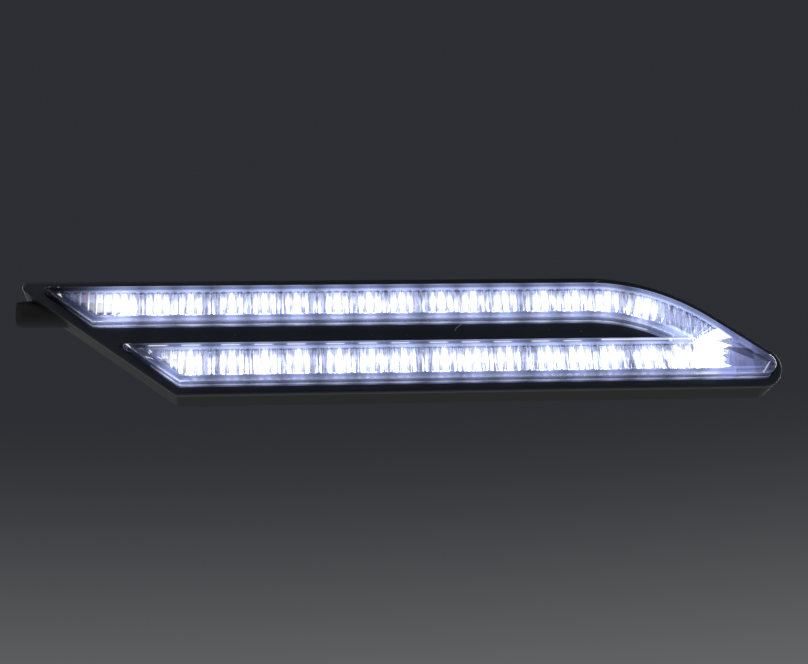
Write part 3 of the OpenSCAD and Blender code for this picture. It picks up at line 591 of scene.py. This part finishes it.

# The LEDs' light, painted in the faces: even in the ledge round the front and in the outer walls,
# as streaks in the fan, as a white bloom before each LED, and as the dashes that the upper wall of
# the lower arm mirrors, a little closer together than the LEDs.
lit = (pools(place, 7, 9) * (1 - nose) + 0.5 * fan
       + 0.7 * nose * (1 - 0.75 * x.rise(104, 110))).clamped()
low_ledge = 0.36 * (0.45 + 0.55 * depth.rise(1.05, 1.35)) * depth.fall(1.85, 2.15)
high_ledge = ((0.42 + 0.2 * depth.rise(0.3, 0.8) + 0.34 * depth.rise(1.15, 1.6))
              * depth.fall(2.2, 2.6) * (1 - 0.55 * x.rise(94, 98)))
ledge = front * (below * low_ledge + above * high_ledge) * (1 - 0.6 * cut_face)
side = outer * (0.14 * level_lines.rise(0.4, 0.7) * (1 - 0.5 * above)
                + 0.24 * x.rise(92, 97) * below)
streaks = (0.5 * fan * upright_streaks.rise(0.45, 0.62)
           + 0.1 * start * upright_lines.rise(0.4, 0.6)) * inner * (depth > 2)
glow = lit * (ledge + side + 0.4 * valley.most(walls)) + haze + streaks
wide = from_start.fall(-92, -87) * (from_start > -98) + upper * x.rise(60, 68)
bloom = (front * depth.rise(1.9, 3) * pools(place, 3.2 + wide, 2.2 + 2 * wide)
         * (x < FLUTES_END) * (1 - 0.5 * comb) + nose_white)
FIRST_LOWER_LED, LAST_DASH = -67.87, 58
mirrored = (x - FIRST_LOWER_LED) / 0.98 + FIRST_LOWER_LED
dashes = (to_led(mirrored, (-90, LAST_DASH)).fall(2.3, 3.4) * z.near(-4.65, 0.08, 0.3)
          * (x < LAST_DASH)
          + (x > LAST_DASH) * (x < 88) * z.near(-4.4, 0.22, 0.34)) * front * (x > -82)
hot = (bloom + 0.8 * dashes + 0.8 * rim_highlight * lit + 0.5 * tip_line + 0.8 * glint).clamped()
# Painted shade, put into the lens's colour so that less light passes: in the walls and valleys, on
# the bank and the wedge, inside the nose, in the first flutes, the lower outer walls, the cut faces
# and the combs.
painted_shade = walls.most(valley, 0.4 * shadow, 0.85 * wedge, 0.85 * x.rise(95, 97.5) * inner,
                  0.88 * start, 0.55 * outer * below, 0.5 * cut_face, 0.65 * comb * inner)
tint = (x > 95.5).blend(GLOW_TINT, NOSE_TINT)
seen = red_sleeve_glow.blend(glow.clamped().blend(BLACK, tint), SLEEVE_GLOW_TINT)
feed(sockets,
     Base_Color=painted_shade.most(painted_grey_shade).blend(WATER_CLEAR, DEEP_SHADE),
     Roughness=0.5 * walls * (depth < 1.6) * (1 - cut_face),
     Emission_Color=hot.blend(seen, HOT_WHITE),
     Normal=(upright_streaks * inner * (1 - walls)).bump(0.3))
dress(clear, "lens")

# The bezel, a satin black moulded plate round and between the two arms of the lens. It is set down
# over the foot of the lens, and four screws from behind hold it.
bezel_plastic, sockets, place = finish("bezel_plastic")
grain = place.noise(0.3)
cloud = place.noise(9)
feed(sockets,
     Base_Color=cloud.blend(rgb(0.012, 0.0145, 0.024), rgb(0.018, 0.021, 0.034)),
     Roughness=0.33 + 0.1 * cloud + 0.06 * grain,
     Normal=grain.bump(0.02))
dress(bezel_plastic, "bezel")

# Dust that has settled on the lamp: a few pale specks on the bezel, and two fibres of lint that
# lean on the lens's edges.
BEZEL_FRONT_Y = -13.05
SPECKS = ((-54.8, 0.17, 0.13), (-12.7, -0.34, 0.11), (-1.9, -0.47, 0.14), (42.8, 0.81, 0.17),
          (52.9, 0.03, 0.16), (10.6, -2.9, 0.12), (-33.5, 2.1, 0.09), (70.2, 16.4, 0.1),
          (-61.0, 16.8, 0.11))
SPECK_PROFILE = ((0, -1), (0.7, -0.6), (1, 0), (0.6, 0.7), (0, 1))
LOW_FIBRE = ((13.15, -13.08, 0.57), (13.5, -13.1, 1.5), (14.0, -13.12, 2.0), (14.65, -13.3, 2.3),
             (15.3, -13.6, 2.85), (16.0, -13.75, 2.9))
TOP_FIBRE = ((58.2, -13.08, 16.4), (58.8, -13.1, 16.5), (59.3, -13.15, 16.75),
             (59.7, -13.2, 17.0), (60.1, -13.1, 17.3))
ROUND = 180
dust, sockets, place = finish("dust", Roughness=0.95)
flock = place.noise(0.08)
feed(sockets,
     Base_Color=flock.blend(rgb(0.42, 0.43, 0.46), rgb(0.62, 0.63, 0.66)),
     Normal=flock.bump(0.02))
chance = random.Random(11)
specks = []
for x, z, size in SPECKS:
    squash, turn_by = chance.uniform(0.5, 0.8), chance.uniform(0, math.tau)
    cosine, sine = math.cos(turn_by), math.sin(turn_by)
    points, faces = turned(SPECK_PROFILE, 0, 0, 7)
    lumps = [chance.uniform(0.7, 1.25) for point in points]
    specks.append(([(x + size * lump * (a * cosine - squash * c * sine),
                     BEZEL_FRONT_Y + 0.4 * size * lump * b,
                     z + size * lump * (a * sine + squash * c * cosine))
                    for (a, b, c), lump in zip(points, lumps)], faces))
build("dust_specks", specks, dust, ROUND)


def strand(course, radius, sides=6):
    """Points and faces of a thin thread along a course of places, pinched at both ends."""
    points, faces = [], []
    for number, spot in enumerate(course):
        ahead = course[min(number + 1, len(course) - 1)] - course[max(number - 1, 0)]
        side = ahead.cross(Vector((0, 1, 0))).normalized()
        other = ahead.cross(side).normalized()
        thick = radius * (0.3 if number in (0, len(course) - 1) else 1)
        points += [tuple(spot + thick * (side * math.cos(math.tau * k / sides)
                                         + other * math.sin(math.tau * k / sides)))
                   for k in range(sides)]
        if number:
            first = number * sides
            faces += [(first + k, first + (k + 1) % sides, first - sides + (k + 1) % sides,
                       first - sides + k) for k in range(sides)]
    faces += [tuple(range(sides)), tuple(range(len(points) - sides, len(points)))]
    return points, faces


def smooth_course(knots, steps=6):
    """A curve through places, with that many steps between each two."""
    knots = [Vector(knot) for knot in (knots[0], *knots, knots[-1])]
    course = []
    for before, here, there, after in zip(knots, knots[1:], knots[2:], knots[3:]):
        for step in range(steps):
            t = step / steps
            course.append(0.5 * (2 * here + (there - before) * t
                                 + (2 * before - 5 * here + 4 * there - after) * t ** 2
                                 + (3 * here - before - 3 * there + after) * t ** 3))
    return course + [knots[-1]]


build("lint_fibres", [strand(smooth_course(LOW_FIBRE), 0.08),
                      strand(smooth_course(TOP_FIBRE), 0.07)], dust, ROUND)

# The studio: a pale floor far enough below to stay out of the photograph's view, a backdrop that
# darkens upwards, and four large soft lamps, two in front and two behind.
FLOOR_Z, FLOOR_HALF = -0.8, 30
floor_mesh = bpy.data.meshes.new("floor")
floor_mesh.from_pydata([(x * FLOOR_HALF, y * FLOOR_HALF, FLOOR_Z)
                        for x, y in ((-1, -1), (1, -1), (1, 1), (-1, 1))], [], [(0, 1, 2, 3)])
floor = bpy.data.objects.new("floor", floor_mesh)
bpy.context.collection.objects.link(floor)
pale, sockets, place = finish("pale_floor", Roughness=0.8, Emission_Strength=0.2)
paint = place.noise(900, 2).blend(rgb(0.68, 0.68, 0.67), rgb(0.72, 0.72, 0.71))
feed(sockets, Base_Color=paint, Emission_Color=paint)
floor_mesh.materials.append(pale)

HORIZON, OVERHEAD = rgb(0.2, 0.205, 0.21), rgb(0.026, 0.028, 0.033)
world = bpy.data.worlds.new("studio")
bpy.context.scene.world = world
world.use_nodes = True
background = world.node_tree.nodes["Background"].inputs
height = Signal(world.node_tree, None).node("ShaderNodeTexCoord", {}, {}, "Generated").part(2)
feed(background, Color=height.rise(-0.05, 0.3).blend(HORIZON, OVERHEAD))
for name, spot, size, power in (("key_lamp", (-0.7, -0.8, 0.9), 0.8, 3),
                                ("fill_lamp", (0.9, -0.5, 0.3), 0.7, 1.3),
                                ("back_lamp_left", (-1.0, 0.8, 0.35), 0.8, 9),
                                ("back_lamp_right", (1.0, 0.8, 0.35), 0.8, 9)):
    lamp_data = bpy.data.lights.new(name, "AREA")
    lamp_data.size = size
    lamp_data.energy = power
    lamp_object = bpy.data.objects.new(name, lamp_data)
    lamp_object.location = spot
    lamp_object.rotation_mode = "QUATERNION"
    lamp_object.rotation_quaternion = Vector(spot).to_track_quat("Z", "Y")
    lamp_object.visible_camera = False
    bpy.context.collection.objects.link(lamp_object)
bpy.context.scene.view_settings.view_transform = "Standard"
